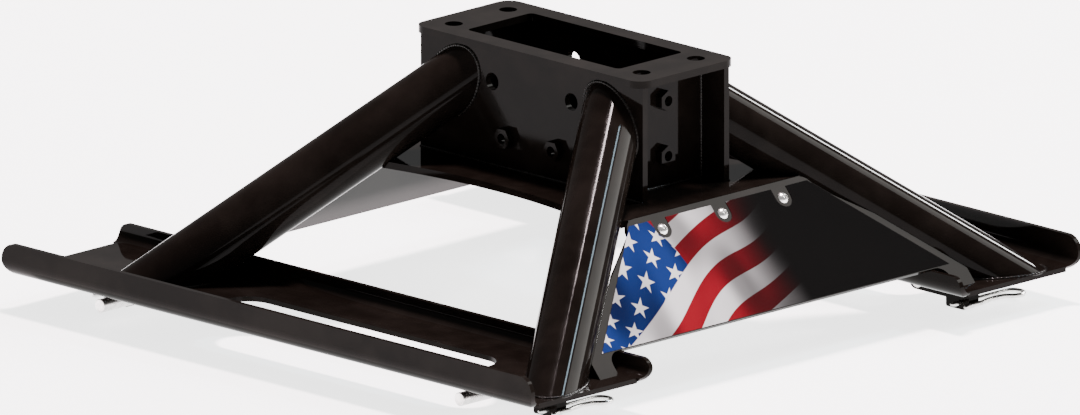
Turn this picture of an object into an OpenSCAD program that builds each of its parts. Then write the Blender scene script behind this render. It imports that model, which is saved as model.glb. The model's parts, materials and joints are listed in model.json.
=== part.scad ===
// Base of a fifth wheel hitch: two rail feet, four splayed legs, a head box
// on a deck between two side panels, and the hardware that locks it to bed rails.
// X runs along the feet, Y across them, Z up. The origin is on the floor under
// the middle of the footprint; the part stands on the four rail tabs.

/* [Feet] */
// Length of each foot along X
foot_len = 687; // [670:1:720]
// How much shorter the flat is than the rounded flanges, at each end
foot_lobe = 5.5; // [4:0.5:8]
// Width of each foot across its two flanges
foot_w = 158; // [150:1:164]
// Distance between the centre lines of the two feet
foot_track = 556; // [550:1:570]
// Height of the outer flange above the underside
foot_outer_h = 32; // [26:0.5:36]
// Height of the inner flange above the underside
foot_inner_h = 21.5; // [18:0.5:22]
// Thickness of the formed foot plate
foot_t = 4.8; // [4:0.1:6]
// Inside radius of the two bends
foot_bend_r = 10.5; // [8:0.1:11]
// Length of the slot in the flat of each foot
slot_len = 337; // [250:1:350]
// Width of that slot
slot_w = 52; // [40:1:56]

/* [Legs] */
// Outer diameter of the leg tubes
leg_d = 57.2; // [50:0.1:60]
// Wall of the leg tubes
leg_wall = 3.4; // [2.5:0.1:5]
// Distance along X between leg centres at the feet
leg_span = 512; // [490:1:530]
// Distance along Y between leg centres at the feet
leg_track = 562; // [556:1:570]
// Travel inward along X for each millimetre of height
leg_lean_x = 0.873; // [0.8:0.001:0.95]
// Travel inward along Y for each millimetre of height
leg_lean_y = 1.28; // [1.22:0.01:1.34]
// Offset of the legs and head box along X from the middle of the feet
head_offset = 43; // [20:1:48]

/* [Head box] */
// Height of the top face above the underside of the feet
head_top = 228; // [220:0.5:240]
// Length of the top plate
top_len = 296; // [292:1:312]
// Depth of the top plate
top_depth = 126; // [120:1:130]
// Thickness of the top plate
top_t = 7; // [5:0.5:9]
// Corner radius of the top plate
top_r = 14; // [8:1:20]
// Length of the opening in the top plate
well_len = 197; // [180:1:205]
// Depth of that opening
well_depth = 84; // [70:1:88]
// Spacing of the corner bolt holes along X
bolt_x = 243.4; // [236:0.1:250]
// Spacing of the corner bolt holes along Y
bolt_y = 70.4; // [66:0.1:76]
// Diameter of the corner bolt holes
bolt_hole_d = 16.7; // [14:0.1:17]
// Depth over the front and rear plates
box_depth = 112; // [104:1:116]
// Length of the front and rear plates
box_len = 288; // [284:1:292]
// Thickness of the front, rear and end plates
box_t = 6.4; // [5:0.1:8]
// Distance between the outer faces of the recessed end plates
end_span = 228; // [220:1:236]
// Spacing of the open holes in the front and rear plates
side_hole_x = 102.6; // [96:0.2:110]
// Height of those holes above the underside of the feet
side_hole_z = 190.5; // [186:0.5:194]
// Spacing of the weld nuts on the front and rear plates
side_nut_x = 64; // [58:1:70]
// Height of those weld nuts above the underside of the feet
side_nut_z = 141; // [136:1:146]
// Height of the upper weld nut on each end plate
end_nut_top_z = 194; // [190:0.5:200]
// Vertical spacing of the two weld nuts on each end plate
end_nut_gap = 52.3; // [48:0.1:56]

/* [Weld nuts] */
// Width across the flats of a weld nut
nut_af = 17.5; // [16.5:0.1:20]
// Height of a weld nut
nut_h = 7.5; // [6:0.1:11]
// Tapped diameter of a weld nut
nut_tap_d = 9.8; // [9:0.1:11]

/* [Deck and side panels] */
// Height of the deck's top face above the underside of the feet
deck_z = 112; // [108:0.5:116]
// Thickness of the deck plate
deck_t = 6.4; // [5:0.1:8]
// Half depth of the deck at its middle
deck_half_y = 104.5; // [98:0.5:110]
// Radius of the concave front and rear edges of the deck
deck_arc_r = 571; // [500:1:700]
// Depth of the deck's folded end flanges, along their slope
deck_flange = 26; // [22:1:32]
// Thickness of the side panels
panel_t = 4.8; // [4:0.1:6]
// Height of a panel's top edge above the underside of the feet
panel_top_z = 113.5; // [112:0.5:116]
// Height of a panel's bottom edge above the underside of the feet
panel_bottom_z = 22.5; // [22:0.5:26]
// Half width of a panel at its top edge
panel_top_half = 120; // [112:0.5:124]
// Spacing of the three screws along a panel's top
screw_gap = 78; // [70:1:82]
// Height of the screws above the underside of the feet
screw_z = 101; // [99:0.5:103]
// Diameter of the button screw heads
screw_head_d = 11.4; // [10:0.1:13]
// Diameter of the screw shanks
screw_d = 6; // [5:0.1:6.5]
// Thickness of the printed decal
decal_t = 0.4; // [0.3:0.1:0.6]

/* [Rail hardware] */
// How far the rail tabs reach below the feet
tab_drop = 31; // [28:0.5:36]
// Thickness of a rail tab
tab_t = 12.7; // [10:0.1:14]
// Distance across Y between the middles of the front and rear tabs
tab_track = 534.5; // [530:0.5:546]
// Half distance along X between the outer ends of the tabs
tab_end_x = 293; // [288:1:298]
// Half distance along X between the lock pins
pin_x = 233; // [230:0.5:236]
// Depth of the lock pin axes below the feet
pin_depth = 11.5; // [9.8:0.1:12.5]
// Diameter of the lock pins
pin_d = 12.7; // [12:0.1:13]
// Length of the lock pins
pin_len = 88; // [80:1:96]
// Wire diameter of the hairpin clips
wire_d = 4.5; // [3:0.1:4.6]
// Depth of the hairpin clips below the feet
clip_depth = 24.5; // [23:0.5:25.5]

/* [Hidden] */
$fn = 64;

paint = [0.05, 0.05, 0.05];
zinc = [0.78, 0.78, 0.76];

// Feet
foot_outer_r = foot_bend_r + foot_t;
flat_top = foot_t;
leg_foot_y = leg_track / 2;

// Legs: the axis starts on the top of the foot's flat and leans to the head
leg_reach = 370;
leg_seam = 40;
leg_dir = [-leg_lean_x, -leg_lean_y, 1];
leg_unit = leg_dir / norm(leg_dir);
weld_gap = 0.2;

// Head box
box_top = head_top - top_t;
plate_h = box_top - deck_z;
nut_clear_d = 12;
side_hole_d = 16.5;
well_corner_r = 5;
box_inside = box_depth / 2 - box_t;

// Side panels: they lean with the legs, so a point at height z on the outer
// face has x = panel_foot_x - leg_lean_x * z
panel_foot_x = 280.3;
panel_tilt = atan(leg_lean_x);
slope = 1 / cos(panel_tilt);
panel_leg_y = [219, 243];
panel_arch_r = 13;
panel_toe = 12;
panel_relief = 0.5;
panel_corner_r = 14;
decal_margin = 6;
decal_low_half = 225;
decal_gap = 1;
decal_notch_r = 9.5;
nut_small_af = 10;
nut_small_h = 5;
deck_corner_y = 140;
deck_end_half = 108;
head_h = 3.2;
socket_af = 4;
socket_depth = 2;

// Rail hardware
tab_y = tab_track / 2;
tab_inner_x = 215;
tab_step_x = 263;
tab_step_drop = 22.5;
tab_toe_r = 2;
tab_r = 9;
pin_clear = 0.06;
pin_outer_y = 340;
pin_chamfer = 1;
clip_x = tab_end_x - 11;
clip_hole_d = wire_d + 1;
clip_tip = 12;
clip_leg = 70;
clip_eye_r = 10;
clip_grip = 13.7;
clip_sides = 10;
clip_wave_start = 26;
clip_wave_len = 36;
clip_wave_depth = 3;
clip_flare_start = 14;
clip_flare = 3.2;

// ---- shared shapes ----

// Places what is drawn relative to the underside of the feet
module above_rails() {
    translate([0, 0, tab_drop]) children();
}

// Shape with its origin on the head's centre line
module at_head() {
    above_rails() translate([head_offset, 0, 0]) children();
}

// Plate cut from an outline drawn in X and Z, with its low Y face at y
module upright(y, t) {
    translate([0, y + t, 0]) rotate([90, 0, 0]) linear_extrude(t) children();
}

module rounded_rect(l, w, r) {
    translate([-l / 2 + r, -w / 2]) square([l - 2 * r, w]);
    translate([-l / 2, -w / 2 + r]) square([l, w - 2 * r]);
    for (x = [-1, 1], y = [-1, 1])
        translate([x * (l / 2 - r), y * (w / 2 - r)]) circle(r);
}

module hexagon(af) {
    circle(d = af / cos(30), $fn = 6);
}

// ---- feet ----

// One flange and its bend, drawn in Y and Z with the outer face on y = 0
module flange_profile(h) {
    translate([0, foot_outer_r]) square([foot_t, h - foot_outer_r]);
    intersection() {
        translate([foot_outer_r, foot_outer_r]) difference() {
            circle(foot_outer_r);
            circle(foot_bend_r);
        }
        square(foot_outer_r);
    }
}

// Side view of a flange, with half-round ends
module flange_side(h) {
    translate([-foot_len / 2 + h / 2, 0]) square([foot_len - h, h]);
    for (side = [-1, 1])
        translate([side * (foot_len / 2 - h / 2), h / 2]) circle(h / 2);
}

// Flange, bend and half of the flat, which is cut straight at its ends
module half_foot(h) {
    intersection() {
        translate([-foot_len / 2, 0, 0]) rotate([90, 0, 90])
            linear_extrude(foot_len) flange_profile(h);
        upright(-1, foot_outer_r + 1) flange_side(h);
    }
    translate([-foot_len / 2 + foot_lobe, foot_outer_r, 0])
        cube([foot_len - 2 * foot_lobe, foot_w / 2 - foot_outer_r, foot_t]);
}

// Foot with its outer flange on the low Y side and its flat's underside at z = 0
module foot() {
    slot_y = foot_w / 2 + foot_track / 2 - leg_track / 2;
    difference() {
        union() {
            half_foot(foot_outer_h);
            translate([0, foot_w, 0]) mirror([0, 1, 0])
                half_foot(foot_inner_h);
        }
        translate([head_offset, slot_y, -1]) linear_extrude(foot_t + 2)
            rounded_rect(slot_len, slot_w, slot_w / 2 - 0.01);
    }
}

module front_foot() {
    color(paint) above_rails()
        translate([0, -foot_track / 2 - foot_w / 2, 0]) foot();
}

module rear_foot() {
    mirror([0, 1, 0]) front_foot();
}

// ---- legs ----

// Solid or hollow round bar along the rear right leg's axis
module leg_bar(d, from = -60) {
    tilt = acos(leg_unit[2]);
    turn = atan2(leg_unit[1], leg_unit[0]);
    translate([leg_span / 2, leg_foot_y, flat_top])
        rotate([0, tilt, turn]) translate([0, 0, from]) rotate([0, 0, leg_seam])
            cylinder(d = d, h = leg_reach - from);
}

// Leg cut flat on the foot and on the face of the head box
module leg() {
    difference() {
        leg_bar(leg_d);
        leg_bar(leg_d - 2 * leg_wall, -61);
        translate([0, 0, flat_top - 200]) cube([900, 900, 400], center = true);
        translate([-450, box_depth / 2 - 400, -10]) cube([900, 400, 500]);
    }
}

// Copies the rear right corner's shape to the corner given by two signs
module corner(side_x, side_y) {
    mirror([side_x < 0 ? 1 : 0, 0, 0])
        mirror([0, side_y < 0 ? 1 : 0, 0]) children();
}

module head_corner(side_x, side_y) {
    at_head() corner(side_x, side_y) children();
}

module front_left_leg() { color(paint) head_corner(-1, -1) leg(); }
module front_right_leg() { color(paint) head_corner(1, -1) leg(); }
module rear_left_leg() { color(paint) head_corner(-1, 1) leg(); }
module rear_right_leg() { color(paint) head_corner(1, 1) leg(); }

// ---- head box ----

module top_plate() {
    color(paint) at_head() translate([0, 0, box_top]) difference() {
        linear_extrude(top_t) rounded_rect(top_len, top_depth, top_r);
        translate([0, 0, -1]) linear_extrude(top_t + 2)
            rounded_rect(well_len, well_depth, well_corner_r);
        for (x = [-1, 1], y = [-1, 1])
            translate([x * bolt_x / 2, y * bolt_y / 2, -1])
                cylinder(d = bolt_hole_d, h = top_t + 2);
    }
}

module front_plate() {
    color(paint) at_head() difference() {
        translate([-box_len / 2, -box_depth / 2, deck_z])
            cube([box_len, box_t, plate_h]);
        for (x = [-1, 1]) {
            translate([x * side_hole_x / 2, 0, side_hole_z]) rotate([90, 0, 0])
                cylinder(d = side_hole_d, h = box_depth);
            translate([x * side_nut_x / 2, 0, side_nut_z]) rotate([90, 0, 0])
                cylinder(d = nut_clear_d, h = box_depth);
        }
    }
}

module rear_plate() {
    mirror([0, 1, 0]) front_plate();
}

module right_end_plate() {
    color(paint) at_head() difference() {
        translate([end_span / 2 - box_t, -box_inside, deck_z])
            cube([box_t, 2 * box_inside, plate_h]);
        for (i = [0, 1])
            translate([0, 0, end_nut_top_z - i * end_nut_gap]) rotate([0, 90, 0])
                cylinder(d = nut_clear_d, h = end_span);
    }
}

module left_end_plate() {
    translate([2 * head_offset, 0, 0]) mirror([1, 0, 0]) right_end_plate();
}

// Hex nut standing on z = 0
module nut(af, h, bore) {
    difference() {
        linear_extrude(h) hexagon(af);
        translate([0, 0, -1]) cylinder(d = bore, h = h + 2);
    }
}

module front_weld_nuts() {
    color(paint) at_head() for (x = [-1, 1])
        translate([x * side_nut_x / 2, -box_depth / 2, side_nut_z])
            rotate([90, 0, 0]) nut(nut_af, nut_h, nut_tap_d);
}

module rear_weld_nuts() {
    mirror([0, 1, 0]) front_weld_nuts();
}

module right_end_weld_nuts() {
    color(paint) at_head() for (i = [0, 1])
        translate([end_span / 2, 0, end_nut_top_z - i * end_nut_gap])
            rotate([0, 90, 0]) nut(nut_af, nut_h, nut_tap_d);
}

module left_end_weld_nuts() {
    translate([2 * head_offset, 0, 0]) mirror([1, 0, 0]) right_end_weld_nuts();
}

// ---- deck and side panels ----

// Stands a shape drawn in panel coordinates on the right panel's plane: the
// shape's X is the real Y, its Y runs up the slope from the rail level, and
// its Z is the height above the outer face
module on_panel() {
    translate([panel_foot_x, 0, 0]) rotate([0, -panel_tilt, 0])
        rotate([90, 0, 90]) children();
}

module four_leg_bars(d) {
    for (x = [-1, 1], y = [-1, 1]) corner(x, y) leg_bar(d);
}

// Outline of the panel: sloping ends, round top corners, and a leg at each end
// that meets the bottom edge in an arch and runs down past the foot's flat
module panel_outline() {
    top_v = panel_top_z * slope;
    bottom_v = panel_bottom_z * slope;
    toe_v = flat_top * slope - panel_toe;
    arch_y = panel_leg_y[0] - panel_arch_r;
    arch_v = bottom_v - panel_arch_r;
    low_half = leg_foot_y - leg_lean_y * (panel_bottom_z - flat_top);
    half = [
        [arch_y, bottom_v], [arch_y, arch_v], [panel_leg_y[0], arch_v],
        [panel_leg_y[0], toe_v], [panel_leg_y[1], toe_v],
        [panel_leg_y[1], bottom_v], [low_half, bottom_v],
        [panel_top_half, top_v - panel_corner_r]
    ];
    difference() {
        polygon(concat(half, [for (i = [len(half) - 1 : -1 : 0])
            [-half[i][0], half[i][1]]]));
        for (side = [-1, 1])
            translate([side * arch_y, arch_v]) circle(panel_arch_r);
    }
    translate([-panel_top_half + panel_corner_r, top_v - 2 * panel_corner_r])
        square([2 * (panel_top_half - panel_corner_r), 2 * panel_corner_r]);
    for (side = [-1, 1])
        translate([side * (panel_top_half - panel_corner_r),
                   top_v - panel_corner_r]) circle(panel_corner_r);
}

module screw_places() {
    for (i = [-1, 0, 1])
        translate([i * screw_gap, screw_z * slope, 0]) children();
}

// Space over the feet's inner flanges, which the panel is relieved to clear
module flange_relief() {
    flange_y = foot_track / 2 - foot_w / 2;
    for (side = [0, 1]) mirror([0, side, 0])
        translate([0, flange_y - 2 * panel_relief, 0])
            cube([400, foot_t + 4 * panel_relief, foot_inner_h + panel_relief]);
}

module right_side_panel() {
    color(paint) at_head() difference() {
        on_panel() difference() {
            translate([0, 0, -panel_t]) linear_extrude(panel_t) panel_outline();
            screw_places() translate([0, 0, -panel_t - 1])
                cylinder(d = screw_d + 0.4, h = panel_t + 2);
        }
        for (y = [-1, 1]) corner(1, y) leg_bar(leg_d + 2 * weld_gap);
        translate([0, 0, flat_top - 50]) cube([900, 900, 100], center = true);
        flange_relief();
    }
}

module left_side_panel() {
    translate([2 * head_offset, 0, 0]) mirror([1, 0, 0]) right_side_panel();
}

// Printed field of the panel: a margin inside the outline, notched at the screws
module decal_outline() {
    top_v = panel_top_z * slope - decal_margin;
    bottom_v = panel_bottom_z * slope + decal_gap;
    edge_lean = leg_lean_y / slope;
    high_half = decal_low_half - (top_v - bottom_v) * edge_lean;
    difference() {
        polygon([
            [-decal_low_half, bottom_v], [decal_low_half, bottom_v],
            [high_half, top_v], [-high_half, top_v]
        ]);
        screw_places() {
            circle(decal_notch_r);
            translate([-decal_notch_r, 0]) square([2 * decal_notch_r, 40]);
        }
    }
}

module right_decal() {
    color([0.16, 0.2, 0.4]) at_head() on_panel()
        linear_extrude(decal_t) decal_outline();
}

module left_decal() {
    translate([2 * head_offset, 0, 0]) mirror([1, 0, 0]) right_decal();
}

// Button head screw with a hex socket, standing on the panel's outer face
module button_screw() {
    dome_r = (screw_head_d * screw_head_d / 4 + head_h * head_h) / (2 * head_h);
    difference() {
        intersection() {
            translate([0, 0, head_h - dome_r]) sphere(dome_r);
            cylinder(d = screw_head_d, h = head_h + 1);
        }
        translate([0, 0, head_h - socket_depth])
            linear_extrude(socket_depth + 1) hexagon(socket_af);
    }
    shank = panel_t + deck_t + nut_small_h + 2;
    translate([0, 0, -shank]) cylinder(d = screw_d, h = shank + 0.2);
}

module right_panel_screws() {
    color(zinc) at_head() on_panel() screw_places() button_screw();
}

module left_panel_screws() {
    translate([2 * head_offset, 0, 0]) mirror([1, 0, 0]) right_panel_screws();
}

module right_panel_nuts() {
    color(zinc) at_head() on_panel() screw_places()
        translate([0, 0, -panel_t - deck_t - nut_small_h])
            nut(nut_small_af, nut_small_h, screw_d);
}

module left_panel_nuts() {
    translate([2 * head_offset, 0, 0]) mirror([1, 0, 0]) right_panel_nuts();
}

// Outline of the deck: straight ends and concave front and rear edges
module deck_outline(half_x) {
    difference() {
        square([2 * half_x, 2 * deck_corner_y], center = true);
        for (side = [-1, 1])
            translate([0, side * (deck_half_y + deck_arc_r)])
                circle(deck_arc_r, $fn = 256);
    }
}

// End flange of the deck, folded down behind the panel
module deck_end() {
    top_v = (deck_z + panel_t * sin(panel_tilt) - 0.5) * slope;
    on_panel() translate([0, 0, -panel_t - deck_t]) difference() {
        translate([-deck_end_half, top_v - deck_flange])
            cube([2 * deck_end_half, deck_flange, deck_t]);
        screw_places() translate([0, 0, -1]) cylinder(d = screw_d + 0.4, h = deck_t + 2);
    }
}

module deck_plate() {
    inner_x = panel_foot_x - leg_lean_x * deck_z - panel_t * slope;
    color(paint) at_head() difference() {
        union() {
            translate([0, 0, deck_z - deck_t])
                linear_extrude(deck_t) deck_outline(inner_x);
            for (x = [-1, 1]) corner(x, 1) deck_end();
        }
        four_leg_bars(leg_d + 2 * weld_gap);
    }
}

// ---- rail hardware ----

// Rail tab drawn in X and depth below the foot, for the right hand side: the
// shallow half holds the lock pin, the deeper ear outboard of it the hairpin
module tab_outline() {
    translate([tab_inner_x, -tab_step_drop + tab_r])
        square([tab_step_x - tab_inner_x + tab_r, tab_step_drop - tab_r]);
    translate([tab_inner_x + tab_r, -tab_step_drop])
        square([tab_step_x - tab_inner_x, tab_step_drop]);
    translate([tab_inner_x + tab_r, -tab_step_drop + tab_r]) circle(tab_r);
    translate([tab_step_x, -tab_drop + tab_toe_r])
        square([tab_end_x - tab_step_x, tab_drop - tab_toe_r]);
    translate([tab_step_x + tab_toe_r, -tab_drop])
        square([tab_end_x - tab_step_x - tab_toe_r, tab_drop]);
    translate([tab_step_x + tab_toe_r, -tab_drop + tab_toe_r]) circle(tab_toe_r);
}

module rail_tab() {
    difference() {
        upright(tab_y - tab_t / 2, tab_t) difference() {
            tab_outline();
            translate([tab_end_x - tab_r, -tab_drop]) difference() {
                translate([0, -1]) square([tab_r + 1, tab_r + 1]);
                translate([0, tab_r]) circle(tab_r);
            }
        }
        translate([pin_x, 0, -pin_depth]) rotate([-90, 0, 0])
            cylinder(d = pin_d + 2 * pin_clear, h = 400);
        translate([clip_x, 0, -clip_depth]) rotate([-90, 0, 0])
            cylinder(d = clip_hole_d, h = 400);
    }
}

module lock_pin() {
    translate([pin_x, pin_outer_y - pin_len, -pin_depth]) rotate([-90, 0, 0]) {
        cylinder(d1 = pin_d - 2 * pin_chamfer, d2 = pin_d, h = pin_chamfer);
        translate([0, 0, pin_chamfer])
            cylinder(d = pin_d, h = pin_len - 1.5 * pin_chamfer);
        translate([0, 0, pin_len - pin_chamfer / 2])
            cylinder(d1 = pin_d, d2 = pin_d - pin_chamfer, h = pin_chamfer / 2);
    }
}

// Centre line of a hairpin in its own plane: straight leg along +Y from the
// tip, round eye, then the waved leg that comes back beside the tab
function clip_wave(y) =
    clip_grip
    - (y > clip_wave_start
        ? clip_wave_depth * sin(180 * (y - clip_wave_start) / clip_wave_len) : 0)
    + (y < clip_flare_start
        ? clip_flare * pow((clip_flare_start - y) / clip_flare_start, 2) : 0);
function clip_path() = concat(
    [for (i = [0 : 4]) [0, i * clip_leg / 4]],
    [for (a = [-75 : 15 : 135])
        [clip_eye_r + clip_eye_r * sin(a), clip_leg + clip_eye_r * cos(a)]],
    [for (y = [clip_leg - clip_tip : -4 : 2]) [clip_wave(y), y]]
);

function clip_ring(path, i) =
    let (
        last = len(path) - 1,
        ahead = path[min(i + 1, last)] - path[max(i - 1, 0)],
        along = ahead / norm(ahead),
        across = [along[1], -along[0]],
        r = wire_d / 2
    )
    [for (k = [0 : clip_sides - 1])
        let (a = 360 * k / clip_sides)
        [path[i][0] + r * cos(a) * across[0],
         path[i][1] + r * cos(a) * across[1],
         r * sin(a)]];

module hairpin_wire() {
    path = clip_path();
    rings = len(path);
    points = [for (i = [0 : rings - 1]) each clip_ring(path, i)];
    skin = [for (i = [0 : rings - 2], k = [0 : clip_sides - 1])
        let (next = (k + 1) % clip_sides, base = i * clip_sides)
        [base + k, base + next, base + clip_sides + next, base + clip_sides + k]];
    start_cap = [for (k = [clip_sides - 1 : -1 : 0]) k];
    end_cap = [for (k = [0 : clip_sides - 1]) (rings - 1) * clip_sides + k];
    polyhedron(points, concat(skin, [start_cap, end_cap]));
}

// Hairpin through a tab's hole, its eye towards +Y and its waved leg outboard
module hairpin(side_x, side_y) {
    above_rails() mirror([side_x < 0 ? 1 : 0, 0, 0])
        translate([clip_x, side_y * tab_y - tab_t / 2 - clip_tip, -clip_depth])
            hairpin_wire();
}

module rail_corner(side_x, side_y) {
    above_rails() corner(side_x, side_y) children();
}

module front_left_rail_tab() { color(paint) rail_corner(-1, -1) rail_tab(); }
module front_right_rail_tab() { color(paint) rail_corner(1, -1) rail_tab(); }
module rear_left_rail_tab() { color(paint) rail_corner(-1, 1) rail_tab(); }
module rear_right_rail_tab() { color(paint) rail_corner(1, 1) rail_tab(); }
module front_left_lock_pin() { color(zinc) rail_corner(-1, -1) lock_pin(); }
module front_right_lock_pin() { color(zinc) rail_corner(1, -1) lock_pin(); }
module rear_left_lock_pin() { color(zinc) rail_corner(-1, 1) lock_pin(); }
module rear_right_lock_pin() { color(zinc) rail_corner(1, 1) lock_pin(); }
module front_left_hairpin() { color(zinc) hairpin(-1, -1); }
module front_right_hairpin() { color(zinc) hairpin(1, -1); }
module rear_left_hairpin() { color(zinc) hairpin(-1, 1); }
module rear_right_hairpin() { color(zinc) hairpin(1, 1); }

front_foot();
rear_foot();
front_left_leg();
front_right_leg();
rear_left_leg();
rear_right_leg();
top_plate();
front_plate();
rear_plate();
left_end_plate();
right_end_plate();
front_weld_nuts();
rear_weld_nuts();
left_end_weld_nuts();
right_end_weld_nuts();
deck_plate();
left_side_panel();
right_side_panel();
left_decal();
right_decal();
left_panel_screws();
right_panel_screws();
left_panel_nuts();
right_panel_nuts();
front_left_rail_tab();
front_right_rail_tab();
rear_left_rail_tab();
rear_right_rail_tab();
front_left_lock_pin();
front_right_lock_pin();
rear_left_lock_pin();
rear_right_lock_pin();
front_left_hairpin();
front_right_hairpin();
rear_left_hairpin();
rear_right_hairpin();
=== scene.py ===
"""Looks of a fifth wheel hitch's base frame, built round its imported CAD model.

The frame is gloss black painted steel: two flanged feet, four splayed tube legs
and a head box on a deck. Each side panel carries a printed film with generic
stars and waved stripes, and zinc plated pins and hairpin clips lock the rail tabs.
Everything is in metres, in the model's own frame.
"""

import json
import logging
import math
from dataclasses import dataclass, field
from enum import Enum
from typing import Any, Optional, Union

import bmesh
import bpy
from mathutils import Matrix, Quaternion, Vector

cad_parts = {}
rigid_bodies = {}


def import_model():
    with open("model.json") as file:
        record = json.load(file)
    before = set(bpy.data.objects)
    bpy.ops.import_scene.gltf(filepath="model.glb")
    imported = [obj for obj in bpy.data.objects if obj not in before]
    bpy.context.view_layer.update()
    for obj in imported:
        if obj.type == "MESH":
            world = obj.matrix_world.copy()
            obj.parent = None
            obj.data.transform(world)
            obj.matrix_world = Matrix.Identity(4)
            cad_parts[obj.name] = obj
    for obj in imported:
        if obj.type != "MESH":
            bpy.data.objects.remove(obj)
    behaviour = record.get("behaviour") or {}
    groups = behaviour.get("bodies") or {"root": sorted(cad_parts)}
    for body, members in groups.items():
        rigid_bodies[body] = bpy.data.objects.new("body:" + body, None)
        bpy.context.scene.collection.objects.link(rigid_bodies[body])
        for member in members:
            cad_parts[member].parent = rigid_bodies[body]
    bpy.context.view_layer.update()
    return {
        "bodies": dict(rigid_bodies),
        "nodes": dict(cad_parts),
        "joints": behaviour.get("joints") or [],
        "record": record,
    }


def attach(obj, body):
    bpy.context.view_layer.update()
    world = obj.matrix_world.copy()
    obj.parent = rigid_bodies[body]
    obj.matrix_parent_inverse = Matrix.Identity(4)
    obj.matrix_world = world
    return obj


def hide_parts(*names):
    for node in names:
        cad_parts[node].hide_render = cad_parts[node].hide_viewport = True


LOG = logging.getLogger("hitch")

BASE = "base"
MM = 0.001
MERGE = 1e-7
MIX_FIRST, MIX_SECOND, MIX_COLOUR = 6, 7, 2

Colour = tuple[float, float, float]
Number = Union[float, "Socket"]

PINK: Colour = (1.0, 0.84, 0.86)
WARM: Colour = (1.0, 0.99, 0.95)
COOL: Colour = (0.62, 0.84, 1.0)


class Side(Enum):
    """The two ends of the frame along X, as the sign of X."""

    LEFT = -1
    RIGHT = 1

    @property
    def word(self) -> str:
        """The side's name as node names have it."""
        return self.name.lower()


class End(Enum):
    """The two feet, as the sign of Y."""

    FRONT = -1
    REAR = 1

    @property
    def word(self) -> str:
        """The end's name as node names have it."""
        return self.name.lower()


# ---- materials ----


class Socket:
    """A number carried by a node's output, with arithmetic that adds Math nodes."""

    def __init__(self, net: "Net", link: Any) -> None:
        """Wraps an output socket.

        Args:
            net: The node tree that new nodes go in.
            link: The output socket.
        """
        self.net = net
        self.link = link

    def _math(self, operation: str, *values: Number) -> "Socket":
        """Adds a Math node.

        Args:
            operation: The node's operation.
            values: Its inputs, in order.

        Returns:
            The node's output.
        """
        return self.net.node("Math", {"operation": operation}, dict(enumerate(values)))

    def __add__(self, other: Number) -> "Socket":
        """Sum."""
        return self._math("ADD", self, other)

    def __radd__(self, other: Number) -> "Socket":
        """Sum."""
        return self._math("ADD", other, self)

    def __sub__(self, other: Number) -> "Socket":
        """Difference."""
        return self._math("SUBTRACT", self, other)

    def __rsub__(self, other: Number) -> "Socket":
        """Difference."""
        return self._math("SUBTRACT", other, self)

    def __mul__(self, other: Number) -> "Socket":
        """Product."""
        return self._math("MULTIPLY", self, other)

    def __rmul__(self, other: Number) -> "Socket":
        """Product."""
        return self._math("MULTIPLY", other, self)

    def __truediv__(self, other: Number) -> "Socket":
        """Quotient."""
        return self._math("DIVIDE", self, other)

    def sine(self) -> "Socket":
        """Sine of an angle in radians."""
        return self._math("SINE", self)

    def root(self) -> "Socket":
        """Square root."""
        return self._math("SQRT", self)

    def size(self) -> "Socket":
        """Value without its sign."""
        return self._math("ABSOLUTE", self)

    def wrap(self, step: float) -> "Socket":
        """Remainder after whole steps, always positive."""
        return self._math("FLOORED_MODULO", self, step)

    def most(self, other: Number) -> "Socket":
        """Larger of the two."""
        return self._math("MAXIMUM", self, other)

    def angle(self, across: Number) -> "Socket":
        """Angle of the point whose height is this and whose width is across."""
        return self._math("ARCTAN2", self, across)

    def ramp(self, low: float, high: float) -> "Socket":
        """0 up to low and 1 from high, smooth between; low may be the larger.

        Args:
            low: Value at which the result is 0.
            high: Value at which the result is 1.

        Returns:
            The ramped value.
        """
        if low > high:
            return 1.0 - self.ramp(high, low)
        return self.net.node(
            "MapRange",
            {"interpolation_type": "SMOOTHSTEP"},
            {"Value": self, "From Min": low, "From Max": high},
        )


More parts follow.
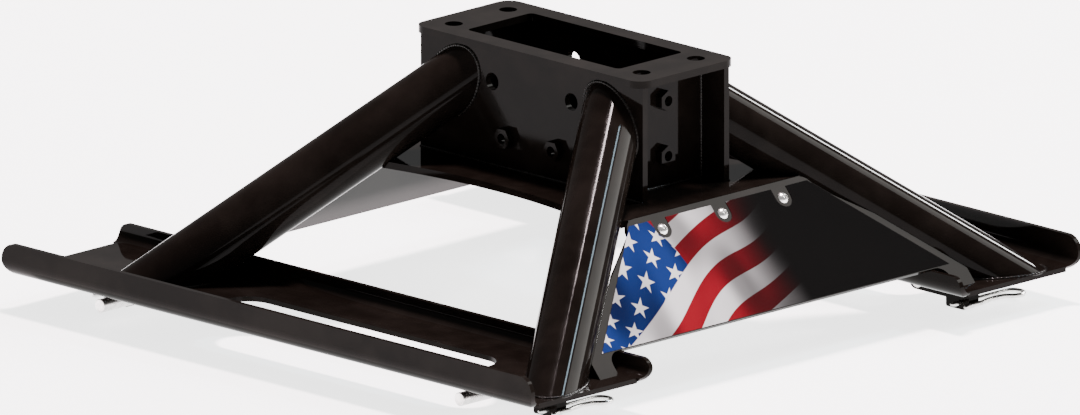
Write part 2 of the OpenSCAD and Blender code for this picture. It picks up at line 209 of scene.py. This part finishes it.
class Net:
    """A material's node tree, with one method that makes its nodes."""

    def __init__(self, name: str) -> None:
        """Makes a material with a Principled shader.

        Args:
            name: The material's name.
        """
        self.material = bpy.data.materials.new(name)
        self.material.use_nodes = True
        self.tree = self.material.node_tree
        self.shader = self.tree.nodes["Principled BSDF"]

    def node(
        self,
        kind: str,
        settings: Optional[dict[str, Any]] = None,
        inputs: Optional[dict[Union[int, str], Any]] = None,
        output: Union[int, str] = 0,
    ) -> Socket:
        """Makes a node.

        Args:
            kind: The node's type, without its ShaderNode prefix.
            settings: Its properties, set first.
            inputs: Values or sockets, by input name or number.
            output: Which output to return.

        Returns:
            The output, wrapped.
        """
        made = self.tree.nodes.new("ShaderNode" + kind)
        for key, value in (settings or {}).items():
            setattr(made, key, value)
        for key, value in (inputs or {}).items():
            self.join(made.inputs[key], value)
        return Socket(self, made.outputs[output])

    def join(self, target: Any, value: Any) -> None:
        """Links a socket or sets a value.

        Args:
            target: The input.
            value: A Socket, a number or a colour.
        """
        if isinstance(value, Socket):
            self.tree.links.new(value.link, target)
        elif isinstance(value, tuple) and len(value) == 3 and target.type == "RGBA":
            target.default_value = (*value, 1.0)
        else:
            target.default_value = value

    def axes(self) -> tuple[Socket, Socket, Socket]:
        """Object coordinates, apart."""
        place = self.node("TexCoord", output="Object")
        split = self.node("SeparateXYZ", None, {0: place}).link.node
        return tuple(Socket(self, out) for out in split.outputs)

    def noise(
        self, scale: float, detail: float = 3.0, stretch: Colour = (1, 1, 1)
    ) -> Socket:
        """Noise on object coordinates, from 0 to 1.

        Args:
            scale: Waves in a metre.
            detail: Octaves.
            stretch: Scale of each axis.

        Returns:
            The noise.
        """
        place = self.node("TexCoord", output="Object")
        place = self.node("Mapping", None, {"Vector": place, "Scale": stretch})
        return self.node(
            "TexNoise", None, {"Vector": place, "Scale": scale, "Detail": detail}
        )

    def blend(self, share: Number, first: Any, second: Any) -> Socket:
        """Mixes two colours.

        Args:
            share: 0 for the first colour and 1 for the second.
            first: A colour or socket.
            second: A colour or socket.

        Returns:
            The mixed colour.
        """
        made = self.tree.nodes.new("ShaderNodeMix")
        made.data_type = "RGBA"
        self.join(made.inputs["Factor"], share)
        self.join(made.inputs[MIX_FIRST], first)
        self.join(made.inputs[MIX_SECOND], second)
        return Socket(self, made.outputs[MIX_COLOUR])

    def bump(self, height: Socket, depth: float, strength: float = 1.0) -> None:
        """Sends a height to the shader's normal.

        Args:
            height: The height, from 0 to 1.
            depth: Metres that 1 stands for.
            strength: Share of it that shows.
        """
        made = self.node(
            "Bump",
            None,
            {"Height": height, "Distance": depth, "Strength": strength},
        )
        self.join(self.shader.inputs["Normal"], made)

    def set(self, **values: Any) -> None:
        """Sets the shader's sockets, with _ for a space in their names."""
        for key, value in values.items():
            self.join(self.shader.inputs[key.replace("_", " ")], value)


@dataclass(frozen=True)
class GlossPaint:
    """Gloss black paint with a faint orange peel and dusty variation."""

    name: str = "gloss_black_paint"
    dark: Colour = (0.0028, 0.0020, 0.0016)
    dusty: Colour = (0.0060, 0.0045, 0.0037)
    sheen_low: float = 0.045
    sheen_high: float = 0.085
    peel_scale: float = 420.0
    peel_depth: float = 0.003 * MM
    shine: float = 0.030

    def build(self) -> bpy.types.Material:
        """Makes the material."""
        net = Net(self.name)
        cloud = net.noise(9.0, 4.0)
        film = net.noise(46.0, 3.0)
        mask = (cloud * 0.65 + film * 0.35).ramp(0.38, 0.68)
        net.set(
            Base_Color=net.blend(mask, self.dark, self.dusty),
            Roughness=self.sheen_low + mask * (self.sheen_high - self.sheen_low),
            Specular_IOR_Level=self.shine,
        )
        net.bump(net.noise(self.peel_scale, 2.0), self.peel_depth)
        return net.material


@dataclass(frozen=True)
class WeldBead:
    """Painted weld metal: gloss paint over a rippled bead."""

    name: str = "painted_weld"
    dark: Colour = (0.0035, 0.003, 0.0027)
    light: Colour = (0.011, 0.0095, 0.0085)

    def build(self) -> bpy.types.Material:
        """Makes the material."""
        net = Net(self.name)
        grain = net.noise(260.0, 4.0)
        net.set(
            Base_Color=net.blend(grain.ramp(0.4, 0.7), self.dark, self.light),
            Roughness=0.12 + grain * 0.12,
            Specular_IOR_Level=0.09,
        )
        net.bump(grain, 0.08 * MM)
        return net.material


@dataclass(frozen=True)
class BrightZinc:
    """Bright zinc plate with fine turning lines and cloudy wear."""

    name: str
    bright: Colour = (0.80, 0.79, 0.77)
    dull: Colour = (0.52, 0.51, 0.50)
    rough: float = 0.24
    line_stretch: Colour = (1.0, 40.0, 1.0)

    def build(self) -> bpy.types.Material:
        """Makes the material."""
        net = Net(self.name)
        lines = net.noise(90.0, 3.0, self.line_stretch)
        cloud = net.noise(160.0, 4.0)
        wear = (lines * 0.5 + cloud * 0.5).ramp(0.35, 0.7)
        net.set(
            Base_Color=net.blend(wear, self.bright, self.dull),
            Metallic=1.0,
            Roughness=self.rough + wear * 0.16,
        )
        net.bump(lines, 0.02 * MM)
        return net.material


@dataclass(frozen=True)
class Ripple:
    """One sine wave over the panel, in radians for each metre."""

    along: float
    up: float
    phase: float
    height: float

    def over(self, across: Socket, up: Socket, drift: Number = 0.0) -> Socket:
        """The wave's height over the panel.

        Args:
            across: Distance along the panel.
            up: Distance up the panel.
            drift: Extra phase, which bends the wave.

        Returns:
            The height.
        """
        turn = across * self.along + up * self.up + self.phase + drift
        return turn.sine() * self.height


@dataclass(frozen=True)
class PanelPrint:
    """Printed film: a blue field of stars, waved stripes, and a fade to black.

    The pattern is drawn on the panel's own plane from object coordinates, with
    Y along the panel and the height up its slope.
    """

    name: str = "panel_print"
    low_z: float = 0.054
    first_y: float = -0.225
    blue: Colour = (0.0055, 0.0150, 0.075)
    blue_deep: Colour = (0.0015, 0.0035, 0.022)
    red: Colour = (0.130, 0.0030, 0.0075)
    white: Colour = (0.42, 0.41, 0.41)
    black: Colour = (0.0012, 0.0010, 0.0010)
    slope: float = 1.3275
    rise: float = 0.46
    stripe: float = 0.023
    field_reach: float = 0.149
    field_middle: float = 0.052
    field_bulge: float = 5.0
    field_foot: float = -0.012
    star_gap: float = 0.037
    star_radius: float = 0.0100
    fade_start: float = 0.105
    fade_end: float = 0.275
    fade_lean: float = 0.15
    waves: tuple[Ripple, Ripple] = (
        Ripple(24.0, 17.0, 0.0, 0.0065),
        Ripple(58.0, -21.0, 1.3, 0.0022),
    )
    folds: tuple[Ripple, Ripple] = (
        Ripple(52.0, 31.0, 0.0, 0.7),
        Ripple(117.0, -23.0, 0.7, 0.3),
    )
    fold_drift: float = 120.0
    fold_dark: float = 0.66
    star_dark: float = 0.55
    edge: float = 0.0006
    shine: float = 0.004

    def build(self) -> bpy.types.Material:
        """Makes the material."""
        net = Net(self.name)
        _, y, z = net.axes()
        across = y - self.first_y
        up = (z - self.low_z) * self.slope
        wave = self.waves[0].over(across, up) + self.waves[1].over(across, up)
        fold = self.folds[0].over(across, up, wave * self.fold_drift)
        fold = fold + self.folds[1].over(across, up)
        cloth = fold.ramp(-0.95, 0.75)
        lean = up - across * self.rise + wave
        band = ((lean - self.field_foot) / self.stripe * math.pi).sine()
        stripes = net.blend(band.ramp(-0.05, 0.05), self.white, self.red)
        shaded = net.blend(self.fold_dark, stripes, self.black)
        stripes = net.blend(cloth, shaded, stripes)
        bow = up - self.field_middle
        rim = across + bow * bow * self.field_bulge + wave * 0.8
        inside = rim.ramp(self.field_reach + self.edge, self.field_reach - self.edge)
        above = (lean - self.field_foot).ramp(-0.0005, 0.0005)
        stars = self._stars(net, across + wave, up + wave)
        star_tone = net.blend(self.star_dark, self.white, self.black)
        star_tone = net.blend(cloth, star_tone, self.white)
        blue = net.blend(cloth, self.blue_deep, self.blue)
        field_colour = net.blend(stars, blue, star_tone)
        flag = net.blend(inside * above, stripes, field_colour)
        fade = across + wave * 2.0 - up * self.fade_lean
        fade = fade.ramp(self.fade_start, self.fade_end)
        film = net.noise(30.0, 3.0)
        net.set(
            Base_Color=net.blend(fade, flag, self.black),
            Roughness=0.20 + film * 0.1,
            Specular_IOR_Level=self.shine,
        )
        net.bump(net.noise(300.0, 2.0), 0.012 * MM)
        return net.material

    def _stars(self, net: Net, across: Socket, up: Socket) -> Socket:
        """Five pointed stars on a staggered grid.

        Args:
            net: The node tree.
            across: Distance along the panel.
            up: Distance up the panel.

        Returns:
            1 inside a star and 0 outside.
        """
        gap = self.star_gap
        masks = []
        for shift in (0.0, 0.5):
            cell_x = (across + gap * shift).wrap(gap) - gap / 2
            cell_y = (up + gap * shift).wrap(gap) - gap / 2
            turn = cell_y.angle(cell_x) + 0.25
            reach = (cell_x * cell_x + cell_y * cell_y).root()
            fifth = 2 * math.pi / 5
            local = ((turn + 4 * math.pi).wrap(fifth) - fifth / 2).size()
            edge_lean = math.radians(18.0)
            edge = reach * (fifth / 2 - local + edge_lean).sine()
            limit = self.star_radius * math.sin(edge_lean)
            masks.append(edge.ramp(limit + 0.0003, limit - 0.0003))
        return masks[0].most(masks[1])


# ---- mesh helpers ----


class Maker:
    """Makes objects whose place is in their mesh."""

    @staticmethod
    def finish(
        bm: bmesh.types.BMesh,
        name: str,
        material: bpy.types.Material,
        body: str,
        slot: str,
        smooth: bool = True,
    ) -> bpy.types.Object:
        """Turns a bmesh into a piece that rides on a body.

        Args:
            bm: The shape, in the frame's coordinates. It is freed.
            name: The piece's name.
            material: Its material.
            body: The body it moves with.
            slot: The record's material slot; not used.
            smooth: Whether its faces are shaded smooth.

        Returns:
            The piece.
        """
        bmesh.ops.remove_doubles(bm, verts=bm.verts[:], dist=MERGE)
        bmesh.ops.recalc_face_normals(bm, faces=bm.faces[:])
        mesh = bpy.data.meshes.new(name)
        bm.to_mesh(mesh)
        bm.free()
        for polygon in mesh.polygons:
            polygon.use_smooth = smooth
        mesh.materials.append(material)
        piece = bpy.data.objects.new(name, mesh)
        bpy.context.scene.collection.objects.link(piece)
        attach(piece, body)
        return piece

    @staticmethod
    def sweep(
        bm: bmesh.types.BMesh,
        path: list[Vector],
        radii: list[float],
        sides: int,
        closed: bool = False,
    ) -> None:
        """Runs a round section along a path.

        Args:
            bm: The mesh to add to.
            path: The centre line.
            radii: The section's radius at each point.
            sides: Points round the section.
            closed: Whether the path is a ring.
        """
        count = len(path)
        rings = []
        up = Vector((0, 0, 1))
        for i, point in enumerate(path):
            before = path[(i - 1) % count] if closed or i else point
            after = path[(i + 1) % count] if closed or i < count - 1 else point
            along = (after - before).normalized()
            if abs(along.dot(up)) > 0.9:
                up = along.orthogonal()
            across = along.cross(up).normalized()
            up = across.cross(along).normalized()
            turn = Matrix((across, up, along)).transposed().to_4x4()
            ring = bmesh.ops.create_circle(
                bm,
                segments=sides,
                radius=radii[i],
                matrix=Matrix.Translation(point) @ turn,
            )["verts"]
            rings.append(Maker.ring_edges(ring))
        pairs = list(zip(rings, rings[1:]))
        if closed:
            pairs.append((rings[-1], rings[0]))
        for first, second in pairs:
            bmesh.ops.bridge_loops(bm, edges=first + second)
        if not closed:
            for ring in (rings[0], rings[-1]):
                bmesh.ops.edgeloop_fill(bm, edges=ring)

    @staticmethod
    def ring_edges(verts: list[bmesh.types.BMVert]) -> list[bmesh.types.BMEdge]:
        """Edges of a circle just made, always in the same order."""
        return list(dict.fromkeys(e for v in verts for e in v.link_edges))


@dataclass
class Finishes:
    """Every material of the hitch."""

    paint: bpy.types.Material = field(init=False)
    weld: bpy.types.Material = field(init=False)
    screw: bpy.types.Material = field(init=False)
    pin: bpy.types.Material = field(init=False)
    wire: bpy.types.Material = field(init=False)
    film: bpy.types.Material = field(init=False)

    def __post_init__(self) -> None:
        """Builds the materials."""
        self.paint = GlossPaint().build()
        self.weld = WeldBead().build()
        self.screw = BrightZinc("zinc_screw", rough=0.2).build()
        self.pin = BrightZinc("zinc_pin", bright=(0.82, 0.79, 0.78), rough=0.2).build()
        self.wire = BrightZinc("zinc_wire", rough=0.18).build()
        self.film = PanelPrint().build()


# ---- sub-assemblies ----


@dataclass
class Frame:
    """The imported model: gives its painted nodes their finish."""

    loaded: dict[str, Any]
    finishes: Finishes

    def dress(self, name: str, material: bpy.types.Material) -> None:
        """Puts a material on a CAD node.

        Args:
            name: The node.
            material: Its finish.
        """
        node = self.loaded["nodes"][name]
        node.data.materials.clear()
        node.data.materials.append(material)

    def build(self) -> None:
        """Dresses every node by its record slot."""
        chosen = {
            "frame_paint": self.finishes.paint,
            "decal_print": self.finishes.film,
            "screw_zinc": self.finishes.screw,
            "pin_zinc": self.finishes.pin,
            "clip_wire": self.finishes.wire,
        }
        for part in self.loaded["record"]["subparts"]:
            if part["node"] in self.loaded["nodes"]:
                self.dress(part["node"], chosen[part["material_slot"]])
        LOG.info("dressed %d nodes", len(self.loaded["nodes"]))


@dataclass
class LegWelds:
    """Rippled beads round the feet ends and head ends of the four tubes."""

    finishes: Finishes
    head_x: float = 0.043
    leg_x: float = 0.256
    leg_y: float = 0.281
    lean_x: float = 0.873
    lean_y: float = 1.28
    tube_r: float = 0.0286
    bead_r: float = 0.0017
    foot_z: float = 0.0358
    box_y: float = 0.056
    ripple: float = 0.09
    steps: int = 288
    sides: int = 8
    ripples: int = 72

    def build(self) -> None:
        """Makes one bead piece for each tube."""
        for end in End:
            for side in Side:
                bm = bmesh.new()
                for plane in ("foot", "head"):
                    path = self.outline(side.value, end.value, plane)
                    turns = 2 * math.pi * self.ripples / self.steps
                    radii = [
                        self.bead_r * (1 + self.ripple * math.sin(turns * i))
                        for i in range(len(path))
                    ]
                    Maker.sweep(bm, path, radii, self.sides, closed=True)
                name = f"{end.word}_{side.word}_leg_welds"
                Maker.finish(bm, name, self.finishes.weld, BASE, "frame_paint")
                LOG.info("made %s", name)

    def outline(self, sx: int, sy: int, plane: str) -> list[Vector]:
        """Where a tube's skin meets a flat face.

        Args:
            sx: Sign of the tube's X.
            sy: Sign of the tube's Y.
            plane: "foot" for the foot's flat and "head" for the box's wall.

        Returns:
            Points round the joint.
        """
        start = Vector((self.head_x + sx * self.leg_x, sy * self.leg_y, self.foot_z))
        along = Vector((-sx * self.lean_x, -sy * self.lean_y, 1.0)).normalized()
        first = along.orthogonal().normalized()
        second = along.cross(first)
        points = []
        for i in range(self.steps):
            turn = 2 * math.pi * i / self.steps
            rim = start + self.tube_r * (
                math.cos(turn) * first + math.sin(turn) * second
            )
            if plane == "foot":
                reach = (self.foot_z - rim.z) / along.z
            else:
                reach = (sy * self.box_y - rim.y) / along.y
            points.append(rim + along * reach)
        return points


@dataclass
class BoxWelds:
    """Beads where the head box meets the deck, the top plate and its corners."""

    finishes: Finishes
    head_x: float = 0.043
    half_len: float = 0.144
    half_depth: float = 0.056
    deck_z: float = 0.143
    top_z: float = 0.252
    end_x: float = 0.114
    bead_r: float = 0.0015
    ripple: float = 0.09
    wave: float = 0.003
    step: float = 0.00075
    sides: int = 8
    wall: float = 0.0064

    def build(self) -> None:
        """Makes the bead pieces."""
        bm = bmesh.new()
        inner = self.half_depth - self.wall
        for sy in (-1, 1):
            y = sy * self.half_depth
            ends = self.head_x - self.half_len, self.head_x + self.half_len
            first, last = (Vector((x, y, self.deck_z)) for x in ends)
            self.line(bm, first, last)
            for sx in (-1, 1):
                x = self.head_x + sx * self.end_x
                self.line(
                    bm,
                    Vector((x, sy * inner, self.deck_z)),
                    Vector((x, sy * inner, self.top_z)),
                )
        for sx in (-1, 1):
            x = self.head_x + sx * self.end_x
            for z in (self.deck_z, self.top_z):
                self.line(bm, Vector((x, -inner, z)), Vector((x, inner, z)))
        Maker.finish(bm, "head_box_welds", self.finishes.weld, BASE, "frame_paint")
        LOG.info("made head_box_welds")

    def line(self, bm: bmesh.types.BMesh, start: Vector, stop: Vector) -> None:
        """Adds a straight rippled bead.

        Args:
            bm: The mesh to add to.
            start: One end.
            stop: The other end.
        """
        count = max(8, int((stop - start).length / self.step))
        path = [start.lerp(stop, i / count) for i in range(count + 1)]
        radii = [
            self.bead_r
            * (1 + self.ripple * math.sin(2 * math.pi * i * self.step / self.wave))
            for i in range(count + 1)
        ]
        Maker.sweep(bm, path, radii, self.sides)


@dataclass
class Hairpins:
    """Smooth round wire clips that stand for the faceted ones."""

    finishes: Finishes
    clip_x: float = 0.282
    tab_y: float = 0.26725
    tab_t: float = 0.0127
    z: float = 0.0065
    wire_r: float = 0.00225
    leg: float = 0.070
    tip: float = 0.012
    eye_r: float = 0.010
    grip: float = 0.0137
    wave_start: float = 0.026
    wave_len: float = 0.036
    wave_depth: float = 0.003
    flare_start: float = 0.014
    flare: float = 0.0032
    sides: int = 20

    def offset(self, y: float) -> float:
        """How far the waved leg stands from the straight one.

        Args:
            y: Distance from the straight leg's tip.

        Returns:
            The distance between their centre lines.
        """
        w = self.grip
        if y > self.wave_start:
            w -= self.wave_depth * math.sin(
                math.pi * (y - self.wave_start) / self.wave_len
            )
        if y < self.flare_start:
            w += self.flare * ((self.flare_start - y) / self.flare_start) ** 2
        return w

    def route(self) -> list[tuple[float, float]]:
        """Centre line in the clip's own plane."""
        straight = [(0.0, self.leg * i / 14) for i in range(15)]
        eye = [
            (
                self.eye_r * (1 + math.sin(math.radians(a))),
                self.leg + self.eye_r * math.cos(math.radians(a)),
            )
            for a in range(-75, 136, 5)
        ]
        back = [
            (self.offset(y * MM), y * MM)
            for y in range(int((self.leg - self.tip) / MM), 1, -2)
        ]
        return straight + eye + back

    def build(self) -> None:
        """Makes the four clips."""
        for end in End:
            for side in Side:
                corner = f"{end.word}_{side.word}"
                start_y = end.value * self.tab_y - self.tab_t / 2 - self.tip
                path = [
                    Vector((side.value * (self.clip_x + x), start_y + y, self.z))
                    for x, y in self.route()
                ]
                radii = [self.wire_r] * len(path)
                radii[0] = radii[-1] = self.wire_r * 0.62
                bm = bmesh.new()
                Maker.sweep(bm, path, radii, self.sides)
                name = f"{corner}_hairpin_wire"
                clip = Maker.finish(
                    bm, name, self.finishes.wire, f"{corner}_clip", "clip_wire"
                )
                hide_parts(f"{corner}_hairpin")
                LOG.info("made %s", name)


@dataclass(frozen=True)
class Lamp:
    """A soft rectangular light that faces the object, sized in metres."""

    name: str
    azimuth: float
    elevation: float
    power: float
    size: tuple[float, float]
    colour: Colour = (1.0, 1.0, 1.0)
    turn: float = 0.0


@dataclass
class Studio:
    """Pale floor, soft lights and the camera."""

    azimuth: float = 45.0
    elevation: float = 15.06
    view_width: float = 0.990
    target: Vector = field(default_factory=lambda: Vector((-0.0011, -0.0011, 0.0927)))
    distance: float = 4.0
    floor_half: float = 30.0
    floor_glow: float = 2.9
    sky: float = 0.45
    lamp_away: float = 6.0
    lamps: tuple[Lamp, ...] = (
        Lamp("overhead_strip", -150.0, 80.0, 1500.0, (0.62, 1.3), PINK, 75.0),
        Lamp("back_panel", 158.0, 30.0, 380.0, (2.2, 3.6), WARM),
        Lamp("blue_strip", 150.0, 53.0, 190.0, (1.1, 0.4), COOL),
        Lamp("rim_strip", -172.0, 28.0, 260.0, (0.5, 1.2)),
    )

    def towards(self, azimuth: float, elevation: float) -> Vector:
        """Unit vector from the object to a place round it.

        Args:
            azimuth: 0 looks along +Y, in degrees.
            elevation: Height above the horizon, in degrees.

        Returns:
            The direction.
        """
        a, e = math.radians(azimuth), math.radians(elevation)
        return Vector(
            (math.sin(a) * math.cos(e), -math.cos(a) * math.cos(e), math.sin(e))
        )

    def camera(self) -> None:
        """Makes the camera, with the long lens's flat view."""
        data = bpy.data.cameras.new("camera")
        data.type = "ORTHO"
        data.ortho_scale = self.view_width
        data.clip_end = 100.0
        cam = bpy.data.objects.new("camera", data)
        back = self.towards(self.azimuth, self.elevation)
        cam.location = self.target + back * self.distance
        cam.rotation_mode = "QUATERNION"
        cam.rotation_quaternion = (-back).to_track_quat("-Z", "Y")
        bpy.context.scene.collection.objects.link(cam)
        bpy.context.scene.camera = cam

    def light(self, lamp: Lamp) -> None:
        """Adds a light.

        Args:
            lamp: Its place, power, size, colour and turn.
        """
        data = bpy.data.lights.new(lamp.name, "AREA")
        data.shape = "RECTANGLE"
        data.size, data.size_y = lamp.size
        data.energy = lamp.power
        data.color = lamp.colour
        made = bpy.data.objects.new(lamp.name, data)
        back = self.towards(lamp.azimuth, lamp.elevation)
        made.location = self.target + back * self.lamp_away
        made.rotation_mode = "QUATERNION"
        spin = Quaternion((0, 0, 1), math.radians(lamp.turn))
        made.rotation_quaternion = (-back).to_track_quat("-Z", "Y") @ spin
        bpy.context.scene.collection.objects.link(made)

    def floor(self) -> None:
        """Makes the plain pale floor."""
        bm = bmesh.new()
        bmesh.ops.create_grid(bm, x_segments=1, y_segments=1, size=self.floor_half)
        mesh = bpy.data.meshes.new("floor")
        bm.to_mesh(mesh)
        bm.free()
        net = Net("pale_floor")
        net.set(
            Base_Color=(0.7, 0.7, 0.7),
            Roughness=0.8,
            Specular_IOR_Level=0.1,
            Emission_Color=(1.0, 1.0, 1.0),
            Emission_Strength=self.floor_glow,
        )
        mesh.materials.append(net.material)
        piece = bpy.data.objects.new("floor", mesh)
        bpy.context.scene.collection.objects.link(piece)

    def world(self) -> None:
        """Sets the pale surroundings."""
        world = bpy.data.worlds.new("studio")
        world.use_nodes = True
        sky = world.node_tree.nodes["Background"]
        sky.inputs["Color"].default_value = (1.0, 1.0, 1.0, 1.0)
        sky.inputs["Strength"].default_value = self.sky
        bpy.context.scene.world = world

    def build(self) -> None:
        """Sets up the whole studio."""
        self.camera()
        self.floor()
        self.world()
        for lamp in self.lamps:
            self.light(lamp)


def main() -> None:
    """Builds the hitch's looks in order."""
    logging.basicConfig(level=logging.INFO, format="%(name)s: %(message)s")
    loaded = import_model()
    Studio().build()
    finishes = Finishes()
    Frame(loaded, finishes).build()
    LegWelds(finishes).build()
    BoxWelds(finishes).build()
    Hairpins(finishes).build()


if __name__ == "__main__":
    main()
